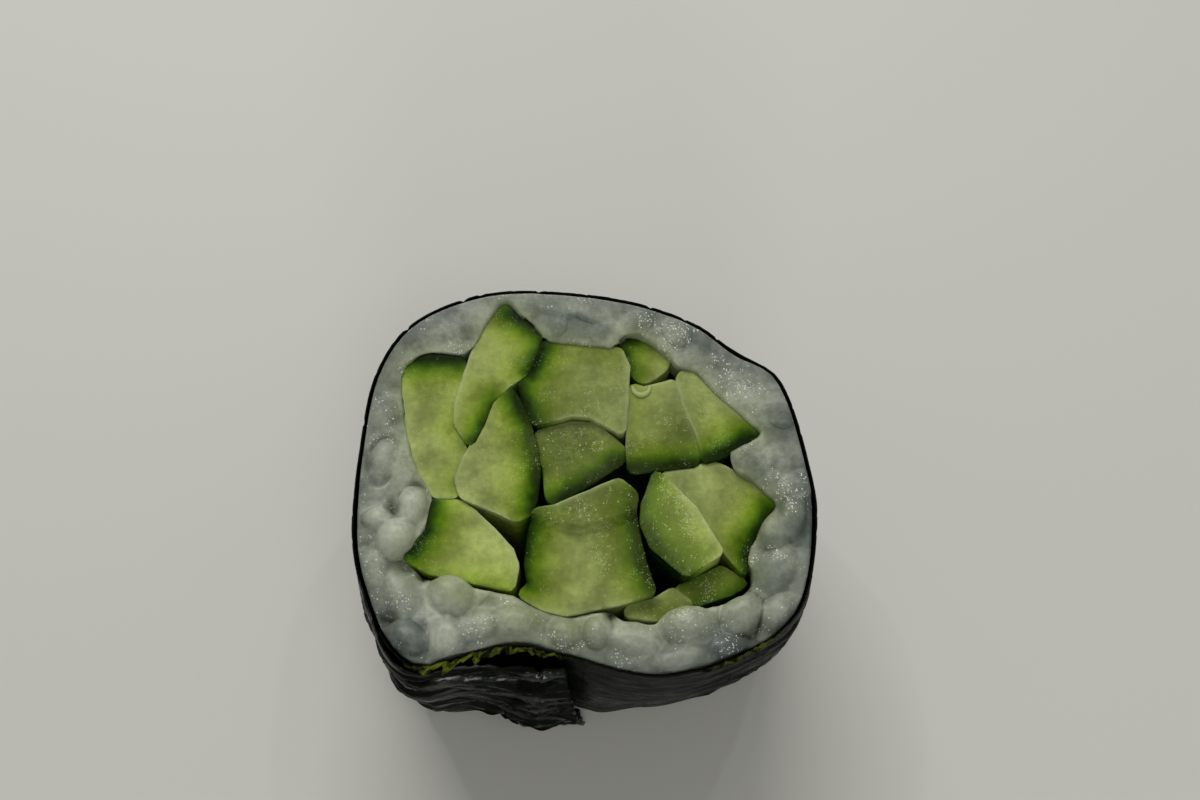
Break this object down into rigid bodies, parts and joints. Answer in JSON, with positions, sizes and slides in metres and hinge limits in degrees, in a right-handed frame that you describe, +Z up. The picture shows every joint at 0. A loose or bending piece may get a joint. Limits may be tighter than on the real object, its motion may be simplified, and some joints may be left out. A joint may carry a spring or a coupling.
{
  "type": "cucumber maki roll",
  "caption": "One cut piece of maki: cucumber batons packed in a ring of rice, wrapped in a sheet of nori whose free end laps over in front.",
  "frame": {"origin": "centre of the piece's box on the surface that it stands on", "axes": "+Z up, out of the shown cut face; +X along the wide side of the cut face; -Y towards the side where the nori's free end shows"},
  "size_m": [0.0318, 0.0282, 0.0201],
  "materials": {
    "nori": "black-green, crinkled, damp sheen",
    "rice": "moist translucent white",
    "cucumber": "wet cut flesh, dark green skin edge"
  },
  "bodies": {
    "root": {"nori": "nori", "rice": "rice", "cucumber_back_left": "cucumber", "cucumber_back_peak": "cucumber", "cucumber_left_middle": "cucumber", "cucumber_back_middle": "cucumber", "cucumber_centre": "cucumber", "cucumber_back_right_small": "cucumber", "cucumber_right_middle": "cucumber", "cucumber_right_wedge": "cucumber", "cucumber_front_right_block": "cucumber", "cucumber_right_front": "cucumber", "cucumber_front_middle": "cucumber", "cucumber_front_left": "cucumber", "cucumber_front_right_low": "cucumber", "cucumber_front_low": "cucumber"}
  },
  "joints": []
}
